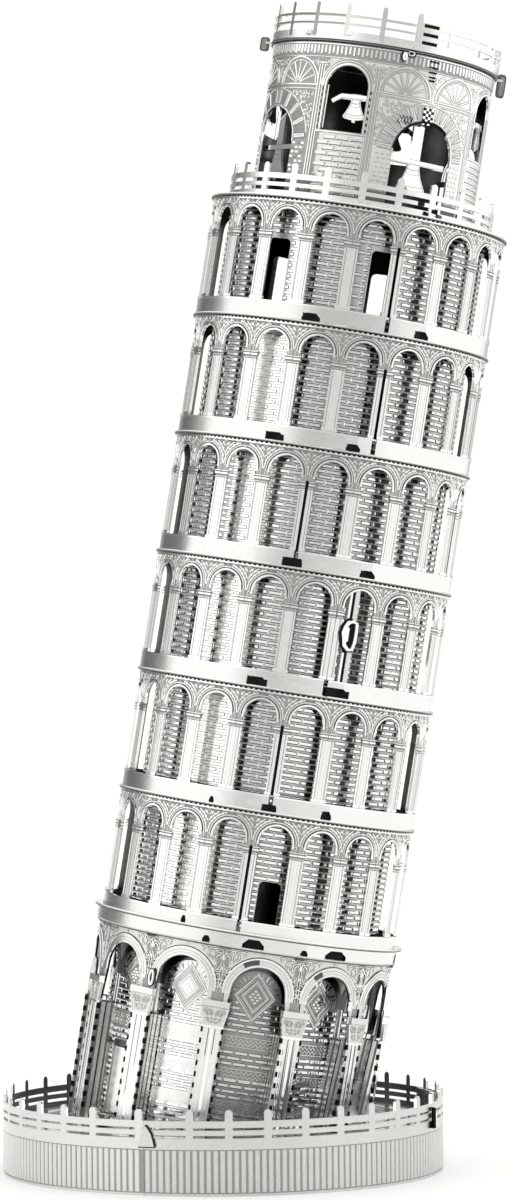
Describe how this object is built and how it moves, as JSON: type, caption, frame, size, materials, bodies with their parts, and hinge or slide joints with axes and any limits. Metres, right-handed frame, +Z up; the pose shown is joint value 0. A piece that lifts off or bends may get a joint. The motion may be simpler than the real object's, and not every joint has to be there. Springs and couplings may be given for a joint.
{
  "type": "miniature leaning bell tower",
  "caption": "Miniature leaning round bell tower of etched sheet steel: arcaded galleries round an inner wall, belfry with flat bells, railed plaza with a fluted skirt.",
  "frame": {"origin": "centre of the plaza skirt's lower edge, on the surface the model stands on", "axes": "+Z up; the tower leans towards +X; -Y is the side the main view sees"},
  "size_m": [0.0455, 0.039, 0.1031],
  "materials": {
    "tower_steel": "bright rolled steel sheet, mirror-like, with etched ornament",
    "wall_steel": "bright steel sheet with etched brick courses",
    "plaza_steel": "bright steel sheet, etched flutes",
    "bell_steel": "bright steel sheet, half-etched lines"
  },
  "bodies": {
    "root": {"skirt_strip_long": "plaza_steel", "skirt_strip_short": "plaza_steel", "skirt_splice_plate": "plaza_steel", "plaza_disc": "plaza_steel", "ground_wall": "wall_steel", "ground_arcade_left": "tower_steel", "ground_arcade_right": "tower_steel", "ground_pilasters": "tower_steel", "cornice_disc": "tower_steel", "cornice_ring": "tower_steel", "floor_disc_2": "tower_steel", "wall_2": "wall_steel", "arcade_2_left": "tower_steel", "arcade_2_right": "tower_steel", "floor_disc_3": "tower_steel", "wall_3": "wall_steel", "arcade_3_left": "tower_steel", "arcade_3_right": "tower_steel", "floor_disc_4": "tower_steel", "wall_4": "wall_steel", "arcade_4_left": "tower_steel", "arcade_4_right": "tower_steel", "floor_disc_5": "tower_steel", "wall_5": "wall_steel", "arcade_5_left": "tower_steel", "arcade_5_right": "tower_steel", "floor_disc_6": "tower_steel", "wall_6": "wall_steel", "arcade_6_left": "tower_steel", "arcade_6_right": "tower_steel", "floor_disc_7": "tower_steel", "wall_7": "wall_steel", "arcade_7_left": "tower_steel", "arcade_7_right": "tower_steel", "terrace_disc": "tower_steel", "terrace_railing": "tower_steel", "belfry_drum": "tower_steel", "drum_splice_strip": "tower_steel", "bell_high_1": "bell_steel", "bell_high_2": "bell_steel", "bell_high_3": "bell_steel", "bell_high_4": "bell_steel", "bell_low_1": "bell_steel", "bell_low_2": "bell_steel", "bell_low_3": "bell_steel", "bell_low_4": "bell_steel", "roof_disc": "tower_steel", "crown_railing": "tower_steel"}
  },
  "joints": []
}
